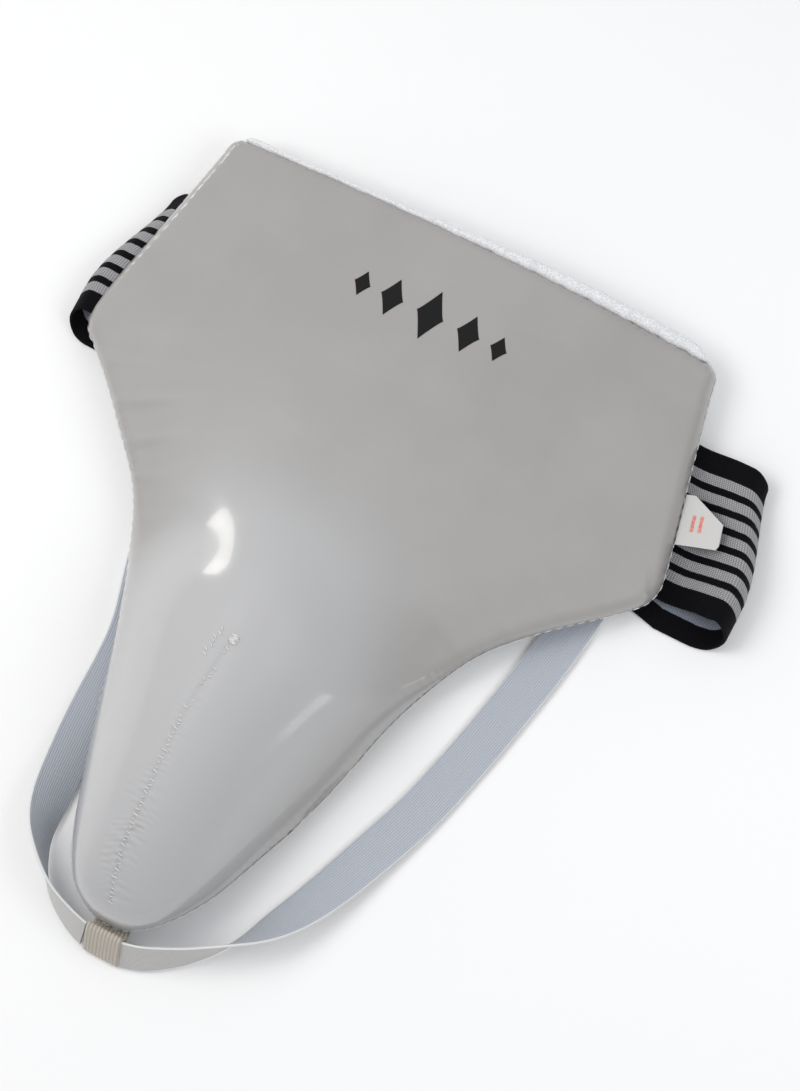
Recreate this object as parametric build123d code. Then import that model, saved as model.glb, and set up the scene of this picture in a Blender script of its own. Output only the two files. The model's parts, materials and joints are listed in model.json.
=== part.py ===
from build123d import *
import math
import os

# Groin protector for martial arts, lying face up on its rear waist belt.
# Millimetres.  +X is the wearer's left, +Y runs up towards the waist, +Z points away from the body.
# The origin is the middle of the rear belt's underside, on the plane that the protector rests on.

# --- driving dimensions ------------------------------------------------------------------------

# Plan of the padded panel as (y, half-width): straight top with small corners, sloping wings,
# concave flanks and a rounded snout.
PANEL_PLAN = [
    (68.0, 115.5), (66.0, 120.0), (61.0, 122.8), (40.0, 127.6), (15.0, 133.5), (-10.0, 139.5),
    (-25.0, 143.0), (-33.0, 144.0), (-40.0, 142.0), (-46.0, 137.0), (-54.0, 128.0), (-62.0, 119.0),
    (-70.0, 111.0), (-79.0, 102.0), (-88.0, 93.5), (-98.0, 85.5), (-109.0, 79.0), (-121.0, 73.5),
    (-134.0, 68.5), (-148.0, 64.0), (-164.0, 60.0), (-182.0, 55.0), (-200.0, 49.5), (-218.0, 43.5),
    (-234.0, 37.5), (-247.0, 31.5), (-257.0, 25.5), (-264.5, 19.0), (-269.0, 13.0), (-272.0, 5.0),
]
TIP_Y = PANEL_PLAN[-1][0]
SECTION_POINTS = 15         # points along each half-lens cross-section

FRONT_EDGE_Z = 15.0         # front surface at the outer edge of the wings
ARCH_RISE = 20.0            # how far the flap arches up between its wings
ARCH_HALF_SPAN = 150.0
ARCH_END_Y = -40.0          # the arch fades out from here, over ARCH_FADE
ARCH_FADE = 90.0
SNOUT_EDGE_LIFT = 4.0       # the snout's rim stands this much higher than the wings' edge

DOME_HEIGHT = 56.0
DOME_START_Y = -45.0
DOME_CREST_Y = -130.0
DOME_TIP_Y = -273.5         # the elliptical nose of the dome runs out just past the tip
DOME_HALF_WIDTH = 67.0      # half-width of the dome at DOME_WAIST_Y
DOME_WAIST_Y = -143.0
DOME_TAPER = 0.33
DOME_FLARE = 0.0006

COVER_T = 1.0
LINING_T = 1.0
HARD_CUP_T = 2.3
CUP_FOAM_T = 4.0
LAYER_GAP = 0.5
SKIRT_T = 1.0               # thickness of the cover where it wraps down the panel's edge
PANEL_T = COVER_T + CUP_FOAM_T + HARD_CUP_T + LINING_T + 3 * LAYER_GAP
LINING_DEPTH = PANEL_T - LINING_T
FILLING_INSET = SKIRT_T + 2 * LAYER_GAP
STEEPEST = 1.5              # a layer measures at most this much thicker along Z than square on

FLEX_Y = -50.0              # the line where the flap bends against the cup section
FLEX_GAP = 4.0
HARD_CUP_INSET = 9.0
CUP_ELLIPSE_X = 85.0
CUP_ELLIPSE_Y = 110.0
CUP_ELLIPSE_CENTRE_Y = -165.0
RIM_BEAD_R = 0.8
RIM_BEAD_OFFSET = 2.2

BINDING_HALF_LENGTH = 114.0
BINDING_WIDTH = 3.6

BELT_WIDTH = 70.0
BELT_T = 1.5
BELT_REAR_HALF = 148.0
LOOP_OUT_RIGHT = 178.0      # how far the belt's folded side loops stand out
LOOP_OUT_LEFT = 160.0
LOOP_TOP_Z = 20.0
BELT_JOIN_GAP = 0.1
BELT_TACK_ROWS = (121.0, 127.0)
BELT_TACK_HALF = 30.0
BELT_SEWN_FROM = 116.0      # the belt is sewn under each wing outwards of this

STRAP_WIDTH = 20.0
STRAP_T = 1.2
STRAP_LOW_Z = 2.3           # mid-thickness of the strap where it lies flat
KEEPER_WIDTH = 17.0
KEEPER_Y = -281.0
KEEPER_HALF_LENGTH = 11.8   # of the keeper's loop, across the strap
KEEPER_HALF_THICK = 2.1
KEEPER_T = 1.0
TAB_Z = 10.6                # the keeper hangs from the tip by a tab at this height
KEEPER_LEAN = -28.0         # the strap's top edge leans in over the tip by this angle

# One side of the leg strap, from the keeper to the belt: (x, y, lean).  The lean is 0 where the
# strap stands on edge and 90 where it lies flat with its body side up.
STRAP_JOIN = 7              # the lower and upper lengths meet at this place
STRAP_RIGHT = [
    (10.0, KEEPER_Y, KEEPER_LEAN), (30.0, -272.0, -18.0), (50.0, -256.0, 8.0),
    (64.0, -237.0, 48.0), (75.0, -216.0, 70.0), (84.0, -195.0, 82.0), (91.5, -174.0, 88.0),
    (98.5, -150.0, 90.0), (106.0, -121.0, 90.0), (112.0, -90.0, 90.0), (117.5, -50.0, 90.0),
    (119.5, -28.0, 90.0), (120.0, -9.0, 90.0),
]
STRAP_LEFT = [
    (-10.0, KEEPER_Y, KEEPER_LEAN), (-29.0, -273.0, -16.0), (-44.0, -257.0, 8.0),
    (-52.5, -236.0, 48.0), (-55.0, -212.0, 70.0), (-56.0, -190.0, 82.0), (-57.0, -170.0, 88.0),
    (-59.0, -150.0, 90.0), (-66.0, -122.0, 90.0), (-77.0, -90.0, 90.0), (-92.0, -50.0, 90.0),
    (-99.0, -28.0, 90.0), (-103.0, -9.0, 90.0),
]

LABEL_LENGTH = 18.0
LABEL_WIDTH = 23.0
LABEL_T = 0.4
LABEL_CORNER = 6.0
LABEL_TILT = 24.0
LABEL_ROOT_X = 137.9
LABEL_ROOT_Y = 0.0
LABEL_ROOT_Z = 12.0
WING_EDGE_ANGLE = 13.5      # slope of the wing's side edge, from +Y towards -X

DART_TOP_Y = -141.0
DART_END_Y = -262.0
STITCH_PITCH = 4.2
STITCH_SIZE = (0.8, 2.8, 0.5)

MARK_Y = 28.0               # centre line of the printed mark
MARK_T = 0.2
MARK_LOZENGES = [(0, 13, 24), (19, 11, 18), (34, 8, 12)]     # (offset, width, height)


# --- surfaces of the panel ---------------------------------------------------------------------

def smooth_step(t):
    t = min(max(t, 0.0), 1.0)
    return t * t * (3 - 2 * t)


def dome_profile(y):
    """Height of the dome along its centre line: a soft ramp up, then an elliptical nose."""
    if y > DOME_CREST_Y:
        return DOME_HEIGHT * smooth_step((DOME_START_Y - y) / (DOME_START_Y - DOME_CREST_Y))
    t = (DOME_CREST_Y - y) / (DOME_CREST_Y - DOME_TIP_Y)
    return DOME_HEIGHT * math.sqrt(max(1 - t * t, 0.0))


def dome_half_width(y):
    along = y - DOME_WAIST_Y
    return DOME_HALF_WIDTH + DOME_TAPER * along + DOME_FLARE * along * along


def front_height(x, y):
    """Front surface: an arched flap that runs into an egg-shaped dome."""
    arch_left = 1 - smooth_step((ARCH_END_Y - y) / ARCH_FADE)
    arch = ARCH_RISE * math.cos(math.pi / 2 * min(abs(x) / ARCH_HALF_SPAN, 1.0)) * arch_left
    lift = SNOUT_EDGE_LIFT * (1 - arch_left)
    t = abs(x) / dome_half_width(y)
    crowned = max(1 - t * t, 0.0)
    faired_share = smooth_step((y + 150) / 55)
    bulge = crowned * (1 - faired_share) + crowned ** 2 * faired_share
    return FRONT_EDGE_Z + arch + lift + dome_profile(y) * bulge


def steepness(x, y):
    """How much thicker a layer measures along Z than square to its surface."""
    dx = (front_height(x + 1, y) - front_height(x - 1, y)) / 2
    dy = (front_height(x, y + 1) - front_height(x, y - 1)) / 2
    return min(math.sqrt(1 + dx * dx + dy * dy), STEEPEST)


def layer_height(x, y, depth):
    """Height of the surface that lies depth below the front surface."""
    return front_height(x, y) - depth * steepness(x, y)


def half_width(y):
    """Half-width of the panel's plan at y."""
    for (y_up, w_up), (y_low, w_low) in zip(PANEL_PLAN, PANEL_PLAN[1:]):
        if y_low <= y <= y_up:
            return w_up + (w_low - w_up) * (y_up - y) / (y_up - y_low)
    return PANEL_PLAN[-1][1]


def stations(y_top, y_low):
    """Heights of the cross-sections between two ends, ends included."""
    inner = [y for y, _ in PANEL_PLAN if y_low + 1 < y < y_top - 1]
    return [y_top] + inner + [y_low]


# --- lofted layers -----------------------------------------------------------------------------

def row(y, half, depth):
    """Points of one layer surface across the panel at y, from -half to +half."""
    steps = range(SECTION_POINTS)
    xs = [half * (2 * i / (SECTION_POINTS - 1) - 1) for i in steps]
    return [Vector(x, y, layer_height(x, y, depth)) for x in xs]


def lens_section(y, half, depth_top, depth_low):
    """Closed cross-section between two depths."""
    top = row(y, half, depth_top)
    low = row(y, half, depth_low)
    edges = [Edge.make_spline(top), Edge.make_line(top[-1], low[-1]),
             Edge.make_spline(low[::-1]), Edge.make_line(low[0], top[0])]
    return Wire(edges)


def layer(ys, half_at, depth_top, depth_low):
    """Solid layer through the cross-sections at ys."""
    sections = [lens_section(y, half_at(y), depth_top, depth_low) for y in ys]
    return Solid.make_loft(sections, ruled=True)


def cover_section(y, half):
    """Cross-section of the cover, whose sides wrap down to the lining."""
    skirt_depth = LINING_DEPTH - LAYER_GAP
    outer = row(y, half, 0)
    inner = row(y, half - SKIRT_T, COVER_T)
    feet_outer = row(y, half, skirt_depth)
    feet_inner = row(y, half - SKIRT_T, skirt_depth)
    edges = [Edge.make_spline(outer), Edge.make_line(outer[-1], feet_outer[-1]),
             Edge.make_line(feet_outer[-1], feet_inner[-1]),
             Edge.make_line(feet_inner[-1], inner[-1]), Edge.make_spline(inner[::-1]),
             Edge.make_line(inner[0], feet_inner[0]), Edge.make_line(feet_inner[0], feet_outer[0]),
             Edge.make_line(feet_outer[0], outer[0])]
    return Wire(edges)


def front_cover():
    ys = stations(PANEL_PLAN[0][0], PANEL_PLAN[-1][0])
    return Solid.make_loft([cover_section(y, half_width(y)) for y in ys], ruled=True)


def back_lining():
    ys = stations(PANEL_PLAN[0][0], PANEL_PLAN[-1][0])
    return layer(ys, half_width, LINING_DEPTH, PANEL_T)


def filling_half_width(y):
    return half_width(y) - FILLING_INSET


def flap_foam():
    ys = stations(PANEL_PLAN[0][0] - 1, FLEX_Y + FLEX_GAP / 2)
    return layer(ys, filling_half_width, COVER_T + LAYER_GAP, LINING_DEPTH - LAYER_GAP)


def cup_foam():
    ys = stations(FLEX_Y - FLEX_GAP / 2, PANEL_PLAN[-2][0])
    return layer(ys, filling_half_width, COVER_T + LAYER_GAP, COVER_T + LAYER_GAP + CUP_FOAM_T)


def hard_cup_half_width(y):
    """The hard cup keeps inside both the panel's plan and an ellipse that rounds its top."""
    along = (y - CUP_ELLIPSE_CENTRE_Y) / CUP_ELLIPSE_Y
    ellipse = CUP_ELLIPSE_X * math.sqrt(max(1 - along * along, 0.0))
    return min(half_width(y) - HARD_CUP_INSET, ellipse)


def hard_cup_stations():
    top_y = CUP_ELLIPSE_CENTRE_Y + CUP_ELLIPSE_Y - 0.6
    rounded = [top_y, top_y - 2.5]
    return rounded + stations(top_y - 7, -262.0)


def hard_cup():
    depth = COVER_T + CUP_FOAM_T + 2 * LAYER_GAP
    return layer(hard_cup_stations(), hard_cup_half_width, depth, depth + HARD_CUP_T)


def cup_rim_line():
    """Right half of the bead's plan, a small offset outside the hard cup's own edge."""
    ys = hard_cup_stations()
    edge = [(0.0, ys[0])] + [(hard_cup_half_width(y), y) for y in ys]
    edge.append((0.0, ys[-1]))
    line = []
    for before, here, after in zip([edge[0]] + edge, edge, edge[1:] + [edge[-1]]):
        along = Vector(after[0] - before[0], after[1] - before[1]).normalized()
        outward = Vector(-along.Y, along.X) * RIM_BEAD_OFFSET
        line.append((here[0] + outward.X, here[1] + outward.Y))
    line[0] = (0.0, edge[0][1] + RIM_BEAD_OFFSET)
    line[-1] = (0.0, edge[-1][1] - RIM_BEAD_OFFSET)
    return line


def cup_rim_bead():
    """Soft round edging that runs all the way round the hard cup."""
    depth = COVER_T + CUP_FOAM_T + 2 * LAYER_GAP + HARD_CUP_T / 2
    points = [Vector(x, y, layer_height(x, y, depth)) for x, y in cup_rim_line()]
    path = Edge.make_spline(points, tangents=[Vector(1, 0, 0), Vector(-1, 0, 0)], scale=False)
    disc = Plane(origin=path @ 0, z_dir=path % 0) * Circle(RIM_BEAD_R)
    half = sweep(disc, path)
    return half + mirror(half, Plane.YZ)


def top_edge_binding():
    """Woven tape that stands out along the panel's straight upper edge."""
    y_low = PANEL_PLAN[0][0] + LAYER_GAP / 2
    ys = [y_low + BINDING_WIDTH, y_low]
    return layer(ys, lambda y: BINDING_HALF_LENGTH, 2.0, PANEL_T - 2.0)


# --- ribbons -----------------------------------------------------------------------------------

def ribbon_face(points, thickness, plane=Plane.XZ):
    """Face of constant thickness along a smooth line through points, drawn in a plane."""
    line = [plane.from_local_coords(Vector(*p)) for p in points]
    middle = Edge.make_spline(line, tangents=[line[1] - line[0], line[-1] - line[-2]])
    count = 3 * len(points)
    normal = plane.z_dir
    sides = ([], [])
    for i in range(count + 1):
        t = i / count
        across = (middle % t).cross(normal).normalized() * (thickness / 2)
        sides[0].append(middle @ t + across)
        sides[1].append(middle @ t - across)
    upper = Edge.make_spline(sides[0])
    lower = Edge.make_spline(sides[1][::-1])
    ends = [Edge.make_line(upper @ 1, lower @ 0), Edge.make_line(lower @ 1, upper @ 0)]
    return Face(Wire([upper, ends[0], lower, ends[1]]))


def belt_rear():
    size = (2 * BELT_REAR_HALF, BELT_WIDTH, BELT_T)
    return Box(*size, align=(Align.CENTER, Align.CENTER, Align.MIN))


def under_wing_z(x):
    """Mid-thickness of the belt where it is sewn flat against the lining."""
    return layer_height(x, 0, PANEL_T) - LAYER_GAP - BELT_T / 2


def belt_side(loop_out):
    """Side length of the waist belt: from under the wing, out round a soft fold, to the rear belt."""
    mid = BELT_T / 2
    reach = loop_out - BELT_REAR_HALF
    points = [(x, under_wing_z(x)) for x in (BELT_SEWN_FROM, 128.0, 140.0)]
    points += [
        (BELT_REAR_HALF, under_wing_z(142.0)),
        (BELT_REAR_HALF + reach * 0.5, LOOP_TOP_Z * 0.72),
        (BELT_REAR_HALF + reach * 0.82, LOOP_TOP_Z * 0.80),
        (loop_out - mid, LOOP_TOP_Z * 0.47),
        (BELT_REAR_HALF + reach * 0.80, mid + 1.0),
        (BELT_REAR_HALF + reach * 0.40, mid),
        (BELT_REAR_HALF + BELT_JOIN_GAP, mid),
    ]
    profile = ribbon_face(points, BELT_T)
    return extrude(profile, BELT_WIDTH / 2, both=True)


def keeper_height():
    """Mid-height of the keeper's loop when its lowest side rests on the ground plane."""
    lean = math.radians(KEEPER_LEAN)
    across_room = KEEPER_HALF_LENGTH - KEEPER_HALF_THICK
    return across_room * math.cos(lean) + KEEPER_HALF_THICK


def strap_section(side, index):
    """Cross-section of the strap at one place of its line, on the right (1) or the left (-1)."""
    line = STRAP_RIGHT if side > 0 else STRAP_LEFT
    x, y, lean = line[index]
    before = line[max(index - 1, 0)]
    after = line[min(index + 1, len(line) - 1)]
    along = Vector(after[0] - before[0], after[1] - before[1], 0).normalized()
    if index == 0:
        along = Vector(side, 0, 0)
    outward = along.cross(Vector(0, 0, 1)) * side
    lean = math.radians(lean)
    across = Vector(0, 0, math.cos(lean)) + outward * math.sin(lean)
    z = STRAP_LOW_Z + STRAP_WIDTH / 2 * math.cos(lean)
    if index == 0:
        z = keeper_height()
    half_width = across * (STRAP_WIDTH / 2)
    half_thick = across.cross(along) * (STRAP_T / 2)
    middle = Vector(x, y, z)
    corners = [middle - half_width - half_thick, middle + half_width - half_thick,
               middle + half_width + half_thick, middle - half_width + half_thick]
    return Wire(Polyline(*corners, close=True).edges())


def upper_strap(side):
    places = range(STRAP_JOIN, len(STRAP_RIGHT))
    return Solid.make_loft([strap_section(side, i) for i in places], ruled=True)


def lower_strap():
    """Length of the leg strap that runs round the tip, through the keeper."""
    sides = []
    for side in (1, -1):
        places = range(0, STRAP_JOIN + 1)
        sides.append(Solid.make_loft([strap_section(side, i) for i in places], ruled=True))
    lean = math.radians(KEEPER_LEAN)
    middle = Plane(origin=(0, KEEPER_Y, keeper_height()), z_dir=(1, 0, 0),
                   x_dir=(0, -math.sin(lean), math.cos(lean)))
    inside = extrude(middle * Rectangle(STRAP_WIDTH, STRAP_T), STRAP_RIGHT[0][0], both=True)
    return (inside + sides[0] + sides[1]).solids()[0]


def tip_keeper():
    """Webbing loop sewn to the tip, which holds the leg strap, with the tab it hangs from."""
    lean = math.radians(KEEPER_LEAN)
    height = keeper_height()
    middle = Plane(origin=(0, KEEPER_Y, height), z_dir=(1, 0, 0),
                   x_dir=(0, -math.sin(lean), math.cos(lean)))
    outer = SlotOverall(2 * KEEPER_HALF_LENGTH, 2 * KEEPER_HALF_THICK)
    inner = SlotOverall(2 * (KEEPER_HALF_LENGTH - KEEPER_T), 2 * (KEEPER_HALF_THICK - KEEPER_T))
    loop = extrude(middle * (outer - inner), KEEPER_WIDTH / 2, both=True)
    tab_line = [(KEEPER_Y + 1.4, TAB_Z), (KEEPER_Y + 5.9, TAB_Z - 0.2), (TIP_Y + 1.0, TAB_Z + 0.3),
                (TIP_Y + 4.5, TAB_Z + 4.4)]
    tab = extrude(ribbon_face(tab_line, KEEPER_T, Plane.YZ), KEEPER_WIDTH / 2, both=True)
    return (loop + tab).solids()[0]


# --- stitches and marks ------------------------------------------------------------------------

def stitch_row(start, end, pitch, size):
    """Row of small thread solids between two points."""
    start, end = Vector(*start), Vector(*end)
    count = max(int((end - start).length / pitch), 1)
    stitches = []
    for i in range(count + 1):
        place = start + (end - start) * (i / count)
        stitches.append(Location(tuple(place)) * Box(*size))
    return stitches


def dart_stitching():
    """Stitches down the centre seam of the snout, lying on the cover."""
    stitches = []
    count = int((DART_TOP_Y - DART_END_Y) / STITCH_PITCH)
    for i in range(count):
        y = DART_TOP_Y - 7 - i * STITCH_PITCH
        if y < DART_END_Y:
            break
        slope = math.degrees(math.atan((front_height(0, y + 1) - front_height(0, y - 1)) / 2))
        lift = 0.45 / math.cos(math.radians(slope)) + 0.1
        place = Location((0, y, front_height(0, y) + lift), (slope, 0, 0))
        stitches.append(place * Box(*STITCH_SIZE))
    return Compound(children=stitches)


def dart_bartack():
    """Dense crosswise tack that locks the top of the dart."""
    stitches = []
    for i in range(4):
        y = DART_TOP_Y - i * 1.3
        place = Location((0, y, front_height(0, y) + 0.55))
        stitches.append(place * Box(7.0, 0.9, 0.6))
    return Compound(children=stitches)


def belt_tack(side):
    """Two rows of stitches through the belt and the lining under one wing."""
    stitches = []
    for x in BELT_TACK_ROWS:
        z = under_wing_z(x) + 0.4
        start = (side * x, -BELT_TACK_HALF, z)
        end = (side * x, BELT_TACK_HALF, z)
        stitches += stitch_row(start, end, 5.0, (0.8, 3.0, 2.6))
    return Compound(children=stitches)


def strap_tack(x):
    """Box of stitches that fixes a leg strap's end to the rear belt."""
    z = BELT_T + 0.6
    stitches = []
    for y in (-14.0, -24.0):
        stitches += stitch_row((x - 6, y, z), (x + 6, y, z), 3.0, (2.0, 0.8, 2.2))
    return Compound(children=stitches)


def keeper_stitch():
    """Row of stitches through the keeper's tab, just clear of the strap."""
    start = (-6.0, KEEPER_Y + 4.6, TAB_Z - 0.1)
    end = (6.0, KEEPER_Y + 4.6, TAB_Z - 0.1)
    return Compound(children=stitch_row(start, end, 3.0, (2.0, 0.8, 2.0)))


def label_frame():
    """Local frame of the size label: x outwards from the wing's side seam, y along the seam."""
    origin = Location((LABEL_ROOT_X, LABEL_ROOT_Y, LABEL_ROOT_Z), (0, 0, WING_EDGE_ANGLE))
    return origin * Location((0, 0, 0), (0, -LABEL_TILT, 0))


def size_label():
    half = LABEL_WIDTH / 2
    tip_half = half - LABEL_CORNER
    outline = Polyline((0, -half), (LABEL_LENGTH - 5, -half), (LABEL_LENGTH, -tip_half),
                       (LABEL_LENGTH, tip_half), (LABEL_LENGTH - 5, half), (0, half), close=True)
    return label_frame() * extrude(make_face(outline), LABEL_T)


def label_mark():
    """Generic pair of printed bars on the label."""
    bars = []
    for offset in (-2.2, 2.2):
        bar = Box(2.0, 9.0, 0.1, align=(Align.CENTER, Align.CENTER, Align.MIN))
        bars.append(label_frame() * Location((LABEL_LENGTH / 2 + offset, 0, LABEL_T + 0.05)) * bar)
    return Compound(children=bars)


def mark_lozenge(x_mid, width, height):
    """One printed lozenge on the flap, curved with the cover."""
    sections = []
    steps = 6
    for i in range(steps + 1):
        x = x_mid + width * (i / steps - 0.5)
        half = max(height / 2 * (1 - abs(2 * i / steps - 1)), 0.4)
        z = front_height(x, MARK_Y) + 0.1
        corners = [(x, MARK_Y - half, z), (x, MARK_Y + half, z),
                   (x, MARK_Y + half, z + MARK_T), (x, MARK_Y - half, z + MARK_T)]
        sections.append(Wire(Polyline(*corners, close=True).edges()))
    return Solid.make_loft(sections, ruled=True)


def printed_mark():
    lozenges = []
    for offset, width, height in MARK_LOZENGES:
        for side in ((1, -1) if offset else (1,)):
            lozenges.append(mark_lozenge(side * offset, width, height))
    return Compound(children=lozenges)


# --- all nodes ---------------------------------------------------------------------------------

NODES = {
    "front_cover": front_cover,
    "back_lining": back_lining,
    "top_edge_binding": top_edge_binding,
    "flap_foam": flap_foam,
    "cup_foam": cup_foam,
    "hard_cup": hard_cup,
    "cup_rim_bead": cup_rim_bead,
    "dart_stitching": dart_stitching,
    "dart_bartack": dart_bartack,
    "belt_rear": belt_rear,
    "belt_side_right": lambda: belt_side(LOOP_OUT_RIGHT),
    "belt_side_left": lambda: mirror(belt_side(LOOP_OUT_LEFT), Plane.YZ),
    "belt_tack_right": lambda: belt_tack(1),
    "belt_tack_left": lambda: belt_tack(-1),
    "leg_strap_lower": lower_strap,
    "leg_strap_upper_right": lambda: upper_strap(1),
    "leg_strap_upper_left": lambda: upper_strap(-1),
    "strap_tack_right": lambda: strap_tack(STRAP_RIGHT[-1][0]),
    "strap_tack_left": lambda: strap_tack(STRAP_LEFT[-1][0]),
    "tip_keeper": tip_keeper,
    "keeper_stitch": keeper_stitch,
    "size_label": size_label,
    "label_mark": label_mark,
    "printed_mark": printed_mark,
}

os.makedirs("parts", exist_ok=True)
for node, make in NODES.items():
    export_step(make(), f"parts/{node}.step")
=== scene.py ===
import json
import math

import bmesh
import bpy
import numpy as np
from mathutils import Matrix, Vector, geometry


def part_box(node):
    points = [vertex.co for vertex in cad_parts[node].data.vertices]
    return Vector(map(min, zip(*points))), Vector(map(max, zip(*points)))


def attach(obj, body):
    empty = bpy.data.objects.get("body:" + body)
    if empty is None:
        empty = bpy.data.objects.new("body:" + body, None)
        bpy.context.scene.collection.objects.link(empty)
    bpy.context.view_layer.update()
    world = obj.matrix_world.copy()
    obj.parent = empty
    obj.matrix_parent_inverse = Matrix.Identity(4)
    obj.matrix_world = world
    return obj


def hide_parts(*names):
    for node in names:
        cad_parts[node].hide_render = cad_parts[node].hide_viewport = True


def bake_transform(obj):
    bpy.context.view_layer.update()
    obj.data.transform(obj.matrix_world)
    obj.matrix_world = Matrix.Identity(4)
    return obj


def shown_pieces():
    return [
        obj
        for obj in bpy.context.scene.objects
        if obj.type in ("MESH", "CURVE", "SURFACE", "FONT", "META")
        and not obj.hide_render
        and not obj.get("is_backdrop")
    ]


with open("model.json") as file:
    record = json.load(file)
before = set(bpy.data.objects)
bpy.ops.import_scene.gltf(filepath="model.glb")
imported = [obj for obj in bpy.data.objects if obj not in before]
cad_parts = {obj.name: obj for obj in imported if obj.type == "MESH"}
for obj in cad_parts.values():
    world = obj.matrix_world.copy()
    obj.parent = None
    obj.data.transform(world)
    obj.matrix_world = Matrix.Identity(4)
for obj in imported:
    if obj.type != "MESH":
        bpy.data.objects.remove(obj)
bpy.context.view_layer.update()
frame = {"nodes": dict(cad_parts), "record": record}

# Groin protector, face up on its rear waist belt.  Shapes are worked out in millimetres in the
# frame's own axes, and become metres when a mesh is made.
MM = 0.001

# --- the padded panel --------------------------------------------------------------------------

# Right half of the panel's plan, from the middle of the top edge round to the tip.
PLAN = [(0, 68), (60, 68.2), (113, 67.9), (119.6, 67.2), (122.8, 64.2), (124.6, 56), (134, 14),
        (142.6, -23), (143.8, -33), (140.8, -41.5), (133, -49), (119, -61.6), (102.5, -78.4),
        (86, -97.5), (74, -120.5), (64.6, -148), (55.4, -182), (44, -218), (32, -247),
        (19.6, -264.5), (8.5, -271.6), (0, -273)]
TOP_Y = 68.0
TIP_Y = -273.0
PANEL_T = 9.8               # cover, foam, hard cup and lining together
SEAM_DEPTH = 6.3            # depth of the edge seam below the front surface
COVER_ROLL = 6.5            # how far in from the edge the cover starts to roll over
LINING_ROLL = 3.6
TOPSTITCH_IN = 6.0          # distance from the edge of the row that holds the lining down
STEEPEST = 1.5              # limit of the slope factor that keeps the panel's thickness even
EDGE_STEP = 1.25            # spacing of the points along the panel's outline
RING_DEPTHS = (0.3, 0.8, 1.5, 2.3, 3.2, 4.3, 5.5, 7.0)
BASE_Z = 15.0               # height of the front at the panel's edge
ARCH_RISE = 20.0            # how far the flap arches over its width
ARCH_HALF_SPAN = 150.0
SNOUT_LIFT = 4.0            # extra height of the edge round the snout
DOME_RISE = 56.0
CREST_Y = -130.0            # where the dome is highest
DART_TOP_Y = -141.0
DART_END_Y = -268.0
DART_BOW = 5.0


def smooth_step(t):
    t = np.clip(t, 0.0, 1.0)
    return t * t * (3 - 2 * t)


def dome_profile(y):
    """Height of the dome on its centre line: a soft ramp up, then an elliptical nose."""
    ramp = smooth_step((-45.0 - y) / 85.0)
    nose = np.sqrt(np.clip(1 - ((CREST_Y - y) / 143.5) ** 2, 0.0, 1.0))
    return DOME_RISE * np.where(y > CREST_Y, ramp, nose)


def front_height(x, y):
    """Front surface before any edge, seam or wrinkle."""
    arch_left = 1 - smooth_step((-40.0 - y) / 90.0)
    arch = ARCH_RISE * np.cos(np.pi / 2 * np.minimum(np.abs(x) / ARCH_HALF_SPAN, 1.0)) * arch_left
    along = y + 143.0
    t = np.abs(x) / (67.0 + 0.33 * along + 0.0006 * along ** 2)
    crowned = np.clip(1 - t * t, 0.0, 1.0)
    faired = smooth_step((y + 150.0) / 55.0)
    bulge = crowned * (1 - faired) + crowned ** 2 * faired
    return BASE_Z + arch + SNOUT_LIFT * (1 - arch_left) + dome_profile(y) * bulge


def steepness(x, y):
    dx = (front_height(x + 1, y) - front_height(x - 1, y)) / 2
    dy = (front_height(x, y + 1) - front_height(x, y - 1)) / 2
    return np.minimum(np.sqrt(1 + dx * dx + dy * dy), STEEPEST)


def through(points, step, closed=False, count=None):
    """Smooth curve through points (centripetal Catmull-Rom), sampled about every step."""
    p = np.array(points, float)
    if closed:
        p = np.vstack([p[-1], p, p[0], p[1]])
    else:
        p = np.vstack([2 * p[0] - p[1], p, 2 * p[-1] - p[-2]])
    samples = []
    fixed = count
    for a, b, c, d in zip(p, p[1:], p[2:], p[3:]):
        t1 = math.sqrt(np.linalg.norm(b - a))
        t2 = t1 + math.sqrt(np.linalg.norm(c - b))
        t3 = t2 + math.sqrt(np.linalg.norm(d - c))
        count = fixed or max(int(np.linalg.norm(c - b) / step), 1)
        for t in np.linspace(t1, t2, count, endpoint=False):
            ab = (t1 - t) / t1 * a + t / t1 * b
            bc = (t2 - t) / (t2 - t1) * b + (t - t1) / (t2 - t1) * c
            cd = (t3 - t) / (t3 - t2) * c + (t - t2) / (t3 - t2) * d
            abc = (t2 - t) / t2 * ab + t / t2 * bc
            bcd = (t3 - t) / (t3 - t1) * bc + (t - t1) / (t3 - t1) * cd
            samples.append((t2 - t) / (t2 - t1) * abc + (t - t1) / (t2 - t1) * bcd)
    if not closed:
        samples.append(p[-2])
    return np.array(samples)


def length_along(line):
    return np.concatenate([[0], np.cumsum(np.linalg.norm(np.diff(line, axis=0), axis=1))])


def even(line, step, closed=False):
    """The same polyline with evenly spaced points."""
    if closed:
        line = np.vstack([line, line[:1]])
    lengths = length_along(line)
    count = max(int(round(lengths[-1] / step)), 2)
    at = np.linspace(0, lengths[-1], count + 1)
    if closed:
        at = at[:-1]
    return np.stack([np.interp(at, lengths, line[:, k]) for k in range(line.shape[1])], axis=1)


def panel_outline():
    right = np.array(PLAN, float)
    left = right[-2:0:-1] * (-1, 1)
    outline = even(through(np.vstack([right, left]), 1.0, closed=True), EDGE_STEP, closed=True)
    along = np.arange(len(outline)) * EDGE_STEP
    wobble = 0.45 * np.sin(along / 23.0) + 0.35 * np.sin(along / 11.3 + 1.0)
    tangent = np.roll(outline, -1, axis=0) - np.roll(outline, 1, axis=0)
    tangent /= np.linalg.norm(tangent, axis=1)[:, None]
    inward = np.stack([tangent[:, 1], -tangent[:, 0]], axis=1)
    curved = np.abs(outline[:, 0]) < 139
    return outline + inward * (wobble * (outline[:, 1] < -45) * curved)[:, None], inward


OUTLINE, INWARD = panel_outline()


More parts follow.
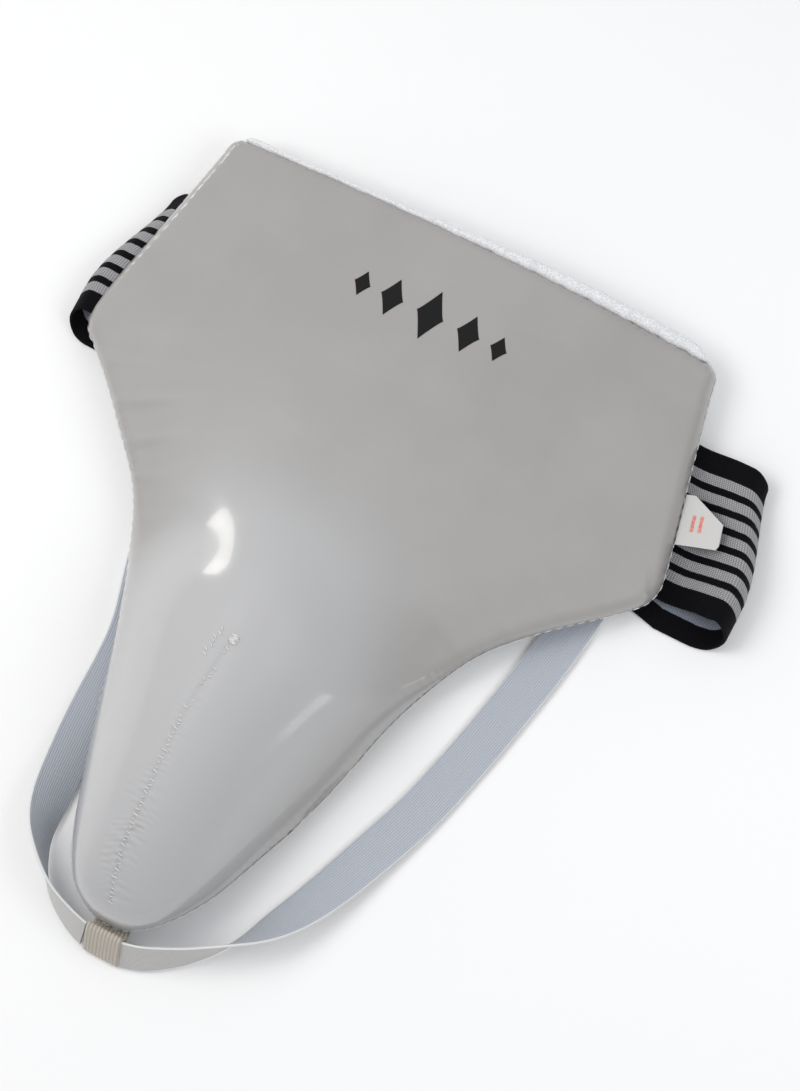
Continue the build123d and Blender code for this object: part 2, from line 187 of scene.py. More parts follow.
def edge_distance(x, y):
    """Distance of points from the panel's outline, and where along the outline they are nearest."""
    here = np.stack([np.ravel(x), np.ravel(y)], axis=1)
    nxt = np.roll(OUTLINE, -1, axis=0)
    seg = nxt - OUTLINE
    seg_sq = (seg ** 2).sum(axis=1)
    best = np.full(len(here), 1e9)
    where = np.zeros(len(here))
    for start in range(0, len(here), 1500):
        part = here[start:start + 1500]
        rel = part[:, None, :] - OUTLINE[None]
        t = np.clip((rel * seg[None]).sum(axis=2) / seg_sq[None], 0, 1)
        gap = np.linalg.norm(rel - t[..., None] * seg[None], axis=2)
        k = gap.argmin(axis=1)
        rows = np.arange(len(part))
        best[start:start + 1500] = gap[rows, k]
        where[start:start + 1500] = (k + t[rows, k]) * EDGE_STEP
    return best, where


# Soft folds of the cover: (x, y at the edge, direction in degrees, length, half-width, height).
FOLDS = [
    (-139, -36, 12, 62, 5.5, 0.9), (-128, -53, 22, 70, 5.0, 1.2), (-112, -68, 30, 60, 4.4, 1.5),
    (-99, -82, 33, 42, 4.0, 1.3), (-88, -95, 28, 32, 3.4, 0.9), (-79, -110, 18, 22, 3.2, 0.7),
    (-70, -132, 4, 18, 3.0, 0.5), (128, -54, 142, 34, 3.0, 0.75), (113, -68, 134, 40, 3.4, 0.7),
    (97, -85, 140, 34, 3.2, 0.75), (84, -100, 152, 30, 3.2, 0.6), (140, -40, 120, 26, 2.8, 1.1),
    (124, 55, 205, 26, 4.5, 0.5), (-124, 55, -25, 30, 4.5, 0.5), (60, -166, 176, 18, 3.0, 0.4),
    (-58, -172, 4, 20, 3.0, 0.4), (38, -234, 158, 16, 2.6, 0.4), (-36, -238, 24, 18, 2.6, 0.4),
]


def folds_height(x, y):
    total = np.zeros_like(x)
    for fx, fy, angle, length, width, height in FOLDS:
        ux, uy = math.cos(math.radians(angle)), math.sin(math.radians(angle))
        a = ((x - fx) * ux + (y - fy) * uy) / length
        b = ((y - fy) * ux - (x - fx) * uy) / (width * (1 + 0.6 * np.clip(a, 0, 1)))
        inside = np.clip((a + 0.12) / 1.12, 0, 1)
        swell = np.sin(np.pi * np.sqrt(inside)) ** 1.5
        total += height * swell * (1 - 1.4 * b * b) * np.exp(-b * b)
    return total


def seam_pucker(d, s):
    """Fine gathers where the cover is turned over the edge seam."""
    pitch = s / 4.6 + 0.9 * np.sin(s / 31.0) + 0.5 * np.sin(s / 13.0)
    strength = 0.30 + 0.22 * np.sin(s / 47.0) + 0.15 * np.sin(s / 17.0 + 2)
    return strength * np.sin(2 * np.pi * pitch) * np.exp(-d / 3.2)


def dart_line(y):
    """Where the dart runs: bowed towards the wearer's right, and a little wavy."""
    t = np.clip((DART_TOP_Y - y) / (DART_TOP_Y - DART_END_Y), 0, 1)
    return -DART_BOW * np.sin(np.pi * t) ** 0.8 + 0.5 * np.sin(y / 9.0)


def uneven_gather(y, seed):
    """Gathers of uneven pitch and depth along the dart, different for each seed."""
    phase = y / 3.1 + 0.55 * np.sin(y / 7.3 + seed) + 0.3 * np.sin(y / 3.9 + 2 * seed)
    depth = 0.55 + 0.25 * np.sin(y / 5.1 + 3 * seed) + 0.2 * np.sin(y / 2.3 + seed)
    return depth * np.sin(2 * np.pi * phase)


def dart_height(x, y):
    """Puckered centre seam: a shallow groove, with gathers that deepen towards the tip."""
    shut = smooth_step((DART_TOP_Y + 2 - y) / 9.0) * smooth_step((y - DART_END_Y) / 6.0)
    off = x - dart_line(y)
    side = np.where(off > 0, 1.0, -1.0)
    low = smooth_step((-190 - y) / 45)
    groove = -(0.45 + 0.3 * low) * np.exp(-(off / 0.9) ** 2) - 0.35 * np.exp(-(off / 4.5) ** 2)
    fine = np.where(side > 0, uneven_gather(y, 1.0), uneven_gather(y, 4.0))
    reach = 2.6 + 3.2 * low + 0.9 * np.sin(y / 6.0 + side)
    slant = uneven_gather(y + 0.45 * np.abs(off), 2.5 + side)
    depth = (0.40 + 0.28 * low) * (1.0 + 0.2 * side)
    ripple = depth * (fine + slant * low) * np.exp(-np.abs(off) / reach)
    return shut * (groove + ripple * np.sqrt(np.clip(np.abs(off) / 1.2, 0, 1)))


def unevenness(x, y):
    """Slow, shallow swells that keep the taut cover from being a perfect surface."""
    return (0.28 * np.sin(x / 19.0 + 0.7 * np.sin(y / 27.0)) * np.cos(y / 23.0 + 0.4)
            + 0.09 * np.sin((x + y) / 11.0 + 1.3) * np.cos((x - 0.6 * y) / 14.0))


def cover_height(x, y, d=None, s=None):
    if d is None:
        d, s = edge_distance(x, y)
    t = np.clip(1 - d / COVER_ROLL, 0, 1)
    roll = SEAM_DEPTH * (1 - np.sqrt(1 - t * t)) * steepness(x, y)
    away = smooth_step(d / 9.0)
    detail = unevenness(x, y) * away + folds_height(x, y) * (0.25 + 0.75 * away)
    return front_height(x, y) - roll + detail + dart_height(x, y) + seam_pucker(d, s)


def lining_height(x, y, d, s):
    t = np.clip(1 - d / LINING_ROLL, 0, 1)
    roll = (PANEL_T - SEAM_DEPTH) * (1 - np.sqrt(1 - t * t))
    quilt = 0.35 * np.sin(s / 2.6) * np.exp(-((d - TOPSTITCH_IN) / 2.2) ** 2)
    stitched = -0.7 * np.exp(-((d - TOPSTITCH_IN) / 1.1) ** 2)
    depth = PANEL_T - roll + (quilt + stitched) * 0.6
    return front_height(x, y) - depth * steepness(x, y)


def inside_outline(points):
    """Which points lie inside the panel's plan."""
    x, y = points[:, :1], points[:, 1:]
    ax, ay = OUTLINE.T
    bx, by = np.roll(OUTLINE, -1, axis=0).T
    crosses = (ay[None] > y) != (by[None] > y)
    at = ax + (y - ay) * (bx - ax) / np.where(by == ay, 1e-9, by - ay)
    return (crosses & (x < at)).sum(axis=1) % 2 == 1


def panel_plan_mesh(spacing):
    """Triangles over the panel's plan: rings that follow the edge, an even grid inside them, and
    a finer grid along the dart."""
    xs = np.arange(-146, 147, spacing)
    ys = np.arange(-276, 70, spacing * 0.87)
    rows = [np.stack([xs + spacing / 2 * (j % 2), np.full(len(xs), y)], axis=1)
            for j, y in enumerate(ys)]
    near_dart = np.array([(x + float(dart_line(y)), y) for y in np.arange(-270, -136, 0.8)
                          for x in np.arange(-8.5, 8.6, 0.85)])
    grid = np.vstack(rows)
    in_dart = (np.abs(grid[:, 0] - dart_line(grid[:, 1])) < 9.4) & (grid[:, 1] < -135.4)
    grid = np.vstack([grid[~in_dart], near_dart])
    grid = grid[inside_outline(grid)]
    d, _ = edge_distance(grid[:, 0], grid[:, 1])
    grid = grid[d > 8.2]
    rings = []
    for k, depth in enumerate(RING_DEPTHS):
        ring = OUTLINE + INWARD * depth
        d, _ = edge_distance(ring[:, 0], ring[:, 1])
        rings.append(ring[(d > depth - 0.12) & (np.arange(len(ring)) % (1 + (k > 5)) == 0)])
    points = np.vstack([OUTLINE] + rings + [grid])
    count = len(OUTLINE)
    loop = [(i, (i + 1) % count) for i in range(count)]
    made = geometry.delaunay_2d_cdt([Vector(p) for p in points], loop, [], 1, 1e-4)
    verts = np.array([tuple(v) for v in made[0]])
    return verts, [tuple(f) for f in made[2]]


# --- mesh helpers ------------------------------------------------------------------------------

SHARPEST_SMOOTH = math.radians(62)     # faces that meet at a larger angle keep a crisp edge


def mesh_piece(name, verts, faces, slot):
    """Smooth object from vertices in millimetres, in the finish of a slot of the record."""
    mesh = bpy.data.meshes.new(name)
    mesh.from_pydata((np.asarray(verts, float) * MM).tolist(), [], faces)
    mesh.update()
    for material in slot_materials(slot):
        mesh.materials.append(material)
    mesh.polygons.foreach_set("use_smooth", [True] * len(mesh.polygons))
    mesh.set_sharp_from_angle(angle=SHARPEST_SMOOTH)
    piece = bpy.data.objects.new(name, mesh)
    bpy.context.scene.collection.objects.link(piece)
    return piece


def thicken(piece, thickness):
    """Gives a sheet its own thickness, inwards from the surface that shows."""
    solid = piece.modifiers.new("thickness", "SOLIDIFY")
    solid.thickness = thickness * MM
    solid.offset = -1
    solid.use_even_offset = False


def grid_faces(rows, columns, wrap_columns=False):
    faces = []
    for i in range(rows - 1):
        for j in range(columns if wrap_columns else columns - 1):
            here, beside = i * columns + j, i * columns + (j + 1) % columns
            faces.append((here, beside, beside + columns, here + columns))
    return faces


def set_uv(piece, uv):
    """One UV per vertex, in millimetres, for woven patterns that follow the piece."""
    layer = piece.data.uv_layers.new(name="weave")
    loops = np.zeros(len(piece.data.loops), int)
    piece.data.loops.foreach_get("vertex_index", loops)
    layer.data.foreach_set("uv", np.asarray(uv, float)[loops].ravel())


def ribbon_piece(name, middle, across, width, thickness, slot, columns, relief):
    """Closed woven ribbon.  middle is a line with the direction across it at each point, or the
    whole middle sheet; relief is the extra half-thickness at each place across the ribbon."""
    rows = len(middle)
    u = np.linspace(-0.5, 0.5, columns)
    if middle.ndim == 2:
        sheet = middle[:, None, :] + across[:, None, :] * (u * width)[None, :, None]
    else:
        sheet = middle
    along = np.gradient(sheet, axis=0)
    side = np.gradient(sheet, axis=1)
    normal = np.cross(along, side)
    normal /= np.linalg.norm(normal, axis=2)[..., None]
    edge = np.clip((0.5 - np.abs(u)) * width / (thickness * 0.7), 0, 1)
    half = thickness / 2 * np.sqrt(1 - (1 - edge) ** 2 * 0.75) + relief(u * width)
    top = sheet + normal * half[None, :, None]
    low = sheet - normal * half[None, :, None]
    ring = np.concatenate([top, low[:, ::-1]], axis=1)
    count = 2 * columns
    verts = ring.reshape(-1, 3)
    faces = [f[::-1] for f in grid_faces(rows, count, wrap_columns=True)]
    faces.append(tuple(range(count)))
    faces.append(tuple((rows - 1) * count + j for j in range(count))[::-1])
    piece = mesh_piece(name, verts, faces, slot)
    uv_u = np.concatenate([u, u[::-1]]) * width
    uv_v = length_along(sheet[:, columns // 2])
    set_uv(piece, np.stack([np.tile(uv_u, rows), np.repeat(uv_v, count)], axis=1))
    # The back side takes the second material: for an elastic, the copy in painted shade.
    if len(piece.data.materials) > 1:
        flags = [int(columns - 1 < k % count < count - 1) for k in range(len(faces) - 2)] + [0, 0]
        piece.data.polygons.foreach_set("material_index", flags)
    return piece


def tube_piece(name, path, radius_across, radius_up, slot, segments):
    """Closed soft cord along a path; the radii may vary along it."""
    path = np.asarray(path, float)
    rows = len(path)
    along = np.gradient(path, axis=0)
    along /= np.linalg.norm(along, axis=1)[:, None]
    side = np.cross(along, (0, 0, 1))
    side /= np.linalg.norm(side, axis=1)[:, None]
    up = np.cross(side, along)
    angles = np.arange(segments) * 2 * np.pi / segments
    across = np.broadcast_to(radius_across, rows)[:, None, None]
    upward = np.broadcast_to(radius_up, rows)[:, None, None]
    ring = (path[:, None, :] + side[:, None, :] * np.cos(angles)[None, :, None] * across
            + up[:, None, :] * np.sin(angles)[None, :, None] * upward)
    faces = grid_faces(rows, segments, wrap_columns=True)
    faces.append(tuple(range(segments))[::-1])
    faces.append(tuple((rows - 1) * segments + j for j in range(segments)))
    piece = mesh_piece(name, ring.reshape(-1, 3), faces, slot)
    along = np.repeat(length_along(path), segments)
    set_uv(piece, np.stack([np.tile(angles * 3, rows), along], axis=1))
    return piece


def stitch_verts(start, end, radius, lift):
    """Rounded thread between two points, arched by lift along Z."""
    start, end = np.array(start, float), np.array(end, float)
    along = end - start
    length = np.linalg.norm(along)
    along /= length
    side = np.cross(along, (0, 0, 1))
    if np.linalg.norm(side) < 0.1:
        side = np.cross(along, (1, 0, 0))
    side /= np.linalg.norm(side)
    up = np.cross(side, along)
    verts = []
    for t in (0.0, 0.08, 0.25, 0.5, 0.75, 0.92, 1.0):
        middle = start + along * (length * t) + up * (lift * math.sin(math.pi * t))
        r = radius * (0.35 + 0.65 * math.sin(math.pi * min(max(t, 0.02), 0.98)) ** 0.4)
        for k in range(6):
            angle = k * math.pi / 3
            verts.append(middle + r * (side * math.cos(angle) + up * math.sin(angle)))
    return verts


def stitches_piece(name, pairs, radius, lift):
    """One piece of thread that holds many stitches, each between two points."""
    verts, faces = [], []
    for start, end in pairs:
        base = len(verts)
        verts += stitch_verts(start, end, radius, lift)
        faces += [tuple(base + k for k in f) for f in grid_faces(7, 6, wrap_columns=True)]
        faces.append(tuple(base + k for k in range(6))[::-1])
        faces.append(tuple(base + 36 + k for k in range(6)))
    return mesh_piece(name, verts, faces, "thread")


# --- materials ---------------------------------------------------------------------------------

class Nodes:
    """A material or world and its node tree, with short ways to add nodes."""

    def __init__(self, name, library=bpy.data.materials):
        self.owner = library.new(name)
        self.owner.use_nodes = True
        self.tree = self.owner.node_tree

    def add(self, kind, **inputs):
        made = self.tree.nodes.new(kind)
        for key, value in inputs.items():
            if key.startswith("i_"):
                self.put(made.inputs[int(key[2:])], value)
            elif key[0].isupper():
                self.put(made.inputs[key], value)
            else:
                setattr(made, key, value)
        return made

    def put(self, socket, value):
        if isinstance(value, bpy.types.NodeSocket):
            self.tree.links.new(value, socket)
        else:
            socket.default_value = value

    def math(self, operation, a, b=0.0, c=0.0):
        return self.add("ShaderNodeMath", operation=operation, i_0=a, i_1=b, i_2=c).outputs[0]

    def mix(self, share, a, b):
        made = self.add("ShaderNodeMix", data_type="RGBA")
        self.put(made.inputs["Factor"], share)
        self.put(made.inputs[6], a)
        self.put(made.inputs[7], b)
        return made.outputs[2]

    def ramp(self, value, low, high, out_low=0.0, out_high=1.0):
        made = self.add("ShaderNodeMapRange", interpolation_type="SMOOTHSTEP")
        for name, given in (("Value", value), ("From Min", low), ("From Max", high),
                            ("To Min", out_low), ("To Max", out_high)):
            self.put(made.inputs[name], given)
        return made.outputs[0]

    def place(self):
        """Position on the object, in millimetres."""
        coords = self.add("ShaderNodeTexCoord").outputs["Object"]
        scaled = self.add("ShaderNodeVectorMath", operation="SCALE", i_0=coords)
        scaled.inputs["Scale"].default_value = 1 / MM
        return scaled.outputs[0]

    def xyz(self):
        return self.add("ShaderNodeSeparateXYZ", Vector=self.place()).outputs[:3]

    def noise(self, size_mm, detail=3.0):
        made = self.add("ShaderNodeTexNoise", Vector=self.place(), Scale=1.0 / size_mm,
                        Detail=detail)
        return made.outputs["Fac"]

    def uv(self):
        """Across and along a ribbon, in millimetres."""
        coords = self.add("ShaderNodeUVMap", uv_map="weave").outputs[0]
        return self.add("ShaderNodeSeparateXYZ", Vector=coords).outputs[:2]

    def wave(self, value, pitch_mm):
        turned = self.math("MULTIPLY", value, 2 * math.pi / pitch_mm)
        return self.math("MULTIPLY_ADD", self.math("SINE", turned), 0.5, 0.5)

    def bump(self, height, depth_mm, strength=1.0, normal=None):
        made = self.add("ShaderNodeBump", Height=height, Distance=depth_mm * MM, Strength=strength)
        if normal is not None:
            self.put(made.inputs["Normal"], normal)
        return made.outputs["Normal"]

    def finish(self, color, roughness, normal=None, **extra):
        inputs = self.tree.nodes["Principled BSDF"].inputs
        self.put(inputs["Base Color"], color)
        self.put(inputs["Roughness"], roughness)
        if normal is not None:
            self.put(inputs["Normal"], normal)
        for name, value in extra.items():
            self.put(inputs[name.replace("_", " ")], value)
        return self.owner


def rgb(r, g, b):
    return (r, g, b, 1.0)


def cover_vinyl():
    """Glossy coated fabric with faint grain and handling smears, and painted light that turns it paler
    over the dome.
    """
    n = Nodes("cover_vinyl")
    cloud = n.noise(55.0, 4.0)
    smear = n.noise(16.0, 5.0)
    flat = n.mix(n.ramp(cloud, 0.35, 0.68), rgb(0.342, 0.329, 0.317), rgb(0.369, 0.356, 0.345))
    x, y, z = n.xyz()
    # Painted light: the colour turns paler the higher the cover stands, and a little towards the tip
    # and the wearer's right.
    painted_crest_light = n.math("MULTIPLY_ADD", y, -0.1, n.math("MULTIPLY_ADD", x, -0.08, z))
    color = n.mix(n.ramp(painted_crest_light, 28.0, 66.0), flat, rgb(0.472, 0.472, 0.476))
    roughness = n.ramp(smear, 0.35, 0.7, 0.17, 0.27)
    pebble = n.add("ShaderNodeTexVoronoi", feature="F1", Vector=n.place(),
                   Scale=1.1).outputs["Distance"]
    normal = n.bump(n.noise(7.0, 3.0), 0.12, 0.30, n.bump(pebble, 0.035, 0.35))
    return n.finish(color, roughness, normal, Coat_Weight=0.55, Coat_Roughness=0.08,
                    Specular_IOR_Level=0.55, Subsurface_Weight=0.04,
                    Subsurface_Radius=(0.004, 0.003, 0.002))


def lining_fabric():
    """White knitted mesh lining, with small regular holes."""
    n = Nodes("lining_fabric")
    x, y, _ = n.xyz()
    a = n.wave(n.math("ADD", x, y), 2.6)
    b = n.wave(n.math("SUBTRACT", x, y), 2.6)
    knit = n.math("MULTIPLY", a, b)
    fibre = n.noise(0.7, 2.0)
    hole = n.ramp(knit, 0.55, 0.85)
    color = n.mix(hole, rgb(0.74, 0.745, 0.75), rgb(0.42, 0.43, 0.45))
    color = n.mix(n.math("MULTIPLY", fibre, 0.25), color, rgb(0.86, 0.86, 0.87))
    height = n.math("SUBTRACT", n.math("MULTIPLY", fibre, 0.3), hole)
    return n.finish(color, 0.85, n.bump(height, 0.35, 0.8), Sheen_Weight=0.35, Sheen_Roughness=0.5)


def binding_tape():
    """Bright woven tape with a coarse, slightly sparkling yarn."""
    n = Nodes("binding_tape")
    across, along = n.uv()
    rib = n.wave(n.math("ADD", along, n.math("MULTIPLY", across, 0.4)), 1.3)
    fleck = n.noise(0.9, 4.0)
    color = n.mix(n.ramp(fleck, 0.3, 0.75), rgb(0.66, 0.67, 0.69), rgb(0.90, 0.90, 0.91))
    height = n.math("ADD", n.math("MULTIPLY", rib, 0.4), fleck)
    return n.finish(color, n.ramp(fleck, 0.4, 0.7, 0.75, 0.35), n.bump(height, 0.35, 0.7),
                    Sheen_Weight=0.4)


def waist_elastic(name, grey, fine_grey):
    """Black knitted elastic with seven ribbed grey stripes along it."""
    n = Nodes(name)
    across, along = n.uv()
    shaken = n.math("ADD", across, n.math("MULTIPLY", n.noise(2.0), 0.5))
    in_stripe = n.math("PINGPONG", n.math("ADD", shaken, 769.75), STRIPE_PITCH / 2)
    stripe = n.ramp(in_stripe, STRIPE_WIDTH / 2 + 0.15, STRIPE_WIDTH / 2 - 0.15)
    inner = n.ramp(n.math("ABSOLUTE", across), STRIPED_HALF + 0.2, STRIPED_HALF - 0.2)
    stripe = n.math("MULTIPLY", stripe, inner)
    rib = n.wave(along, 1.15)
    yarn = n.wave(across, 0.75)
    weave = n.math("MULTIPLY", rib, yarn)
    fibre = n.noise(0.5, 2.0)
    light = n.mix(n.ramp(weave, 0.0, 0.7), fine_grey, grey)
    dark = n.mix(n.ramp(weave, 0.1, 0.9), rgb(0.002, 0.002, 0.003), rgb(0.009, 0.008, 0.010))
    color = n.mix(stripe, dark, light)
    height = n.math("ADD", weave, n.math("MULTIPLY", fibre, 0.4))
    return n.finish(color, n.ramp(stripe, 0, 1, 0.72, 0.78), n.bump(height, 0.28, 0.9),
                    Specular_IOR_Level=n.ramp(stripe, 0, 1, 0.12, 0.4),
                    Sheen_Weight=n.ramp(stripe, 0, 1, 0.0, 0.25), Sheen_Roughness=0.4)


def leg_elastic(name, light, dark):
    """Fine white elastic braid with firmer edges."""
    n = Nodes(name)
    across, along = n.uv()
    rib = n.wave(across, 1.05)
    pick = n.wave(along, 0.8)
    weave = n.math("MULTIPLY", rib, n.math("MULTIPLY_ADD", pick, 0.6, 0.4))
    fibre = n.noise(0.45, 2.0)
    edge = n.ramp(n.math("ABSOLUTE", across), 9.3, 9.7)
    color = n.mix(n.ramp(weave, 0.0, 0.8), dark, light)
    color = n.mix(n.math("MULTIPLY", edge, 0.7), color, rgb(0.86, 0.86, 0.86))
    height = n.math("ADD", weave, n.math("MULTIPLY", fibre, 0.35))
    return n.finish(color, 0.72, n.bump(height, 0.22, 0.8), Sheen_Weight=0.3, Sheen_Roughness=0.4)


def keeper_webbing():
    """Beige ribbed webbing."""
    n = Nodes("keeper_webbing")
    across, along = n.uv()
    rib = n.wave(across, KEEPER_RIB)
    pick = n.wave(along, 0.9)
    fibre = n.noise(0.5, 2.0)
    color = n.mix(n.ramp(rib, 0.1, 0.9), rgb(0.30, 0.26, 0.21), rgb(0.56, 0.51, 0.44))
    color = n.mix(n.math("MULTIPLY", fibre, 0.3), color, rgb(0.72, 0.68, 0.60))
    height = n.math("ADD", n.math("MULTIPLY", pick, 0.5), fibre)
    return n.finish(color, 0.75, n.bump(height, 0.2, 0.8), Sheen_Weight=0.25)


def thread():
    """White sewing thread with its twist."""
    n = Nodes("thread")
    x, y, z = n.xyz()
    twist = n.wave(n.math("ADD", n.math("ADD", x, y), n.math("MULTIPLY", z, 2.0)), 0.45)
    color = n.mix(twist, rgb(0.66, 0.66, 0.65), rgb(0.92, 0.92, 0.90))
    return n.finish(color, 0.22, n.bump(twist, 0.08, 0.8), Coat_Weight=0.4)


def foam():
    """Closed-cell padding foam."""
    n = Nodes("foam")
    cells = n.add("ShaderNodeTexVoronoi", feature="F1", Vector=n.place(),
                  Scale=0.9).outputs["Distance"]
    color = n.mix(n.ramp(cells, 0.1, 0.7), rgb(0.74, 0.70, 0.58), rgb(0.60, 0.56, 0.45))
    return n.finish(color, 0.9, n.bump(cells, 0.3, 0.6))


def cup_plastic():
    """Injection-moulded cup with faint flow marks."""
    n = Nodes("cup_plastic")
    flow = n.noise(18.0, 3.0)
    color = n.mix(flow, rgb(0.78, 0.78, 0.76), rgb(0.86, 0.86, 0.84))
    return n.finish(color, n.ramp(flow, 0.3, 0.7, 0.22, 0.34), n.bump(n.noise(0.8), 0.03, 0.4))


def rim_rubber():
    """Matt rubber edging."""
    n = Nodes("rim_rubber")
    grain = n.noise(0.6, 3.0)
    color = n.mix(grain, rgb(0.02, 0.02, 0.02), rgb(0.06, 0.06, 0.062))
    return n.finish(color, 0.7, n.bump(grain, 0.08, 0.6))


def black_print():
    """Screen-printed black ink, slightly mottled, as glossy as the cover under it."""
    n = Nodes("black_print")
    mottle = n.noise(1.4, 4.0)
    color = n.mix(mottle, rgb(0.004, 0.004, 0.004), rgb(0.012, 0.012, 0.012))
    return n.finish(color, n.ramp(mottle, 0.3, 0.7, 0.42, 0.55), n.bump(mottle, 0.02, 0.5),
                    Specular_IOR_Level=0.25)


def label_satin():
    """White satin label."""
    n = Nodes("label_satin")
    x, y, _ = n.xyz()
    weave = n.math("MULTIPLY", n.wave(x, 0.5), n.wave(y, 0.5))
    color = n.mix(weave, rgb(0.58, 0.575, 0.56), rgb(0.70, 0.69, 0.675))
    return n.finish(color, 0.5, n.bump(weave, 0.06, 0.7), Sheen_Weight=0.4)


def label_ink():
    """Thin red print on the label."""
    n = Nodes("label_ink")
    mottle = n.noise(0.8, 3.0)
    color = n.mix(n.ramp(mottle, 0.35, 0.65), rgb(0.62, 0.16, 0.12), rgb(0.78, 0.36, 0.31))
    return n.finish(color, 0.6, n.bump(mottle, 0.03, 0.5))


def floor_material():
    """Matt white studio sweep."""
    n = Nodes("studio_floor")
    color = n.mix(n.noise(400.0), rgb(0.93, 0.93, 0.93), rgb(0.95, 0.95, 0.95))
    return n.finish(color, 0.85, n.bump(n.noise(1.5), 0.02, 0.2))


STRIPE_PITCH = 7.7
STRIPE_WIDTH = 4.5
STRIPED_HALF = 25.6
KEEPER_RIB = 1.7

MATERIALS = {
    "cover_vinyl": cover_vinyl(),
    "lining_fabric": lining_fabric(),
    "binding_tape": binding_tape(),
    # The inner sides are the same elastics in painted shade: darker, bluer copies of the outer sides.
    "waist_outside": waist_elastic("waist_outside", rgb(0.54, 0.54, 0.55), rgb(0.20, 0.20, 0.21)),
    "waist_inside_painted_shade": waist_elastic("waist_inside_painted_shade", rgb(0.33, 0.37, 0.43), rgb(0.17, 0.19, 0.23)),
    "leg_outside": leg_elastic("leg_outside", rgb(0.68, 0.67, 0.65), rgb(0.45, 0.44, 0.43)),
    "leg_inside_painted_shade": leg_elastic("leg_inside_painted_shade", rgb(0.56, 0.59, 0.65), rgb(0.38, 0.41, 0.46)),
    "keeper_webbing": keeper_webbing(),
    "thread": thread(),
    "foam": foam(),
    "cup_plastic": cup_plastic(),
    "rim_rubber": rim_rubber(),
    "black_print": black_print(),
    "label_satin": label_satin(),
    "label_ink": label_ink(),
}
SIDES = {"waist_elastic": ("waist_outside", "waist_inside_painted_shade"),
         "leg_elastic": ("leg_outside", "leg_inside_painted_shade")}


def slot_materials(slot):
    """Materials of a slot in the record; an elastic has one for each of its sides, the inner side's a
    copy in painted shade.
    """
    return [MATERIALS[name] for name in SIDES.get(slot, (slot,))]


def dress_cad_nodes():
    """Every CAD node gets the procedural material of its slot in the record."""
    for part in frame["record"]["subparts"]:
        node = frame["nodes"][part["node"]]
        node.data.materials.clear()
        node.data.materials.append(slot_materials(part["material_slot"])[0])


# --- the pieces --------------------------------------------------------------------------------

BELT_HALF = 35.0            # half the belt's width
BELT_T = 1.5
BELT_DROP = 12.0            # the rear length lies this much lower where it leaves a loop
BELT_FLOOR_Z = 0.9          # mid-thickness of the belt where it lies on the floor
STRAP_WIDTH = 20.0
STRAP_T = 1.2
STRAP_LOW_Z = 2.3           # mid-thickness of the strap where it lies flat, or its lower edge
KEEPER_Y = -281.0
KEEPER_LEAN = -28.0         # degrees that the keeper and the strap in it lean from upright
KEEPER_Z = 10.7
KEEPER_WIDTH = 17.0
LABEL_LENGTH = 20.5


def across_flex(piece):
    """Bakes the piece's placement into its mesh; it does not bend with the hinge between the flap and
    the cup section.
    """
    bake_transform(piece)


def facing(verts, faces, up):
    """The same triangles, all wound so that they face up (or down)."""
    faces = np.array(faces)
    a, b, c = (np.asarray(verts)[faces[:, k]] for k in range(3))
    turn = (b[:, 0] - a[:, 0]) * (c[:, 1] - a[:, 1]) - (b[:, 1] - a[:, 1]) * (c[:, 0] - a[:, 0])
    wrong = (turn > 0) != up
    faces[wrong] = faces[wrong][:, [0, 2, 1]]
    return faces.tolist()


def build_cover(plan, faces, d, s):
    x, y = plan.T
    z = cover_height(x, y, d, s)
    inward = INWARD[(s / EDGE_STEP).astype(int) % len(INWARD)]
    gather = 0.5 * np.abs(seam_pucker(d, s)) * (d < 6)
    verts = np.column_stack([plan + inward * gather[:, None], z])
    cover = mesh_piece("front_cover_padded", verts, facing(plan, faces, True), "cover_vinyl")
    thicken(cover, 0.8)
    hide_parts("front_cover", "flap_foam", "cup_foam")
    across_flex(cover)


def build_lining(plan, faces, d, s):
    x, y = plan.T
    verts = np.column_stack([plan, lining_height(x, y, d, s)])
    lining = mesh_piece("back_lining_fabric", verts, facing(plan, faces, False), "lining_fabric")
    thicken(lining, 0.7)
    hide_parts("back_lining")
    across_flex(lining)


def seam_height(x, y):
    return front_height(x, y) - SEAM_DEPTH * steepness(x, y)


def build_edge_stitches():
    """Thread that shows in the edge seam, and the row that holds the lining down."""
    edge = even(OUTLINE, 1.0, closed=True)
    pairs = []
    for k in range(0, len(edge) - 5, 5):
        if edge[k][1] <= TOP_Y - 4:
            pairs.append([(x, y, seam_height(x, y)) for x, y in (edge[k], edge[k + 3])])
    across_flex(stitches_piece("edge_seam_thread", pairs, 0.34, 0.1))
    inner = even(OUTLINE + INWARD * TOPSTITCH_IN, 1.0, closed=True)
    d, s = edge_distance(inner[:, 0], inner[:, 1])
    row = np.column_stack([inner, lining_height(inner[:, 0], inner[:, 1], d, s) - 0.15])
    pairs = [(row[k], row[k + 3]) for k in range(0, len(row) - 4, 4)
             if min(d[k], d[k + 3]) >= 5.6 and math.dist(row[k], row[k + 3]) < 6]
    across_flex(stitches_piece("lining_topstitch", pairs, 0.28, -0.15))


def stitch_across(x, y, half, slant, lift):
    """Both ends of a stitch that lies on the cover, across (x, y)."""
    ends = ((x - half, y + slant), (x + half, y - slant))
    heights = [cover_height(np.array([ex]), np.array([ey]))[0] for ex, ey in ends]
    return [(ex, ey, float(height) + lift) for (ex, ey), height in zip(ends, heights)]


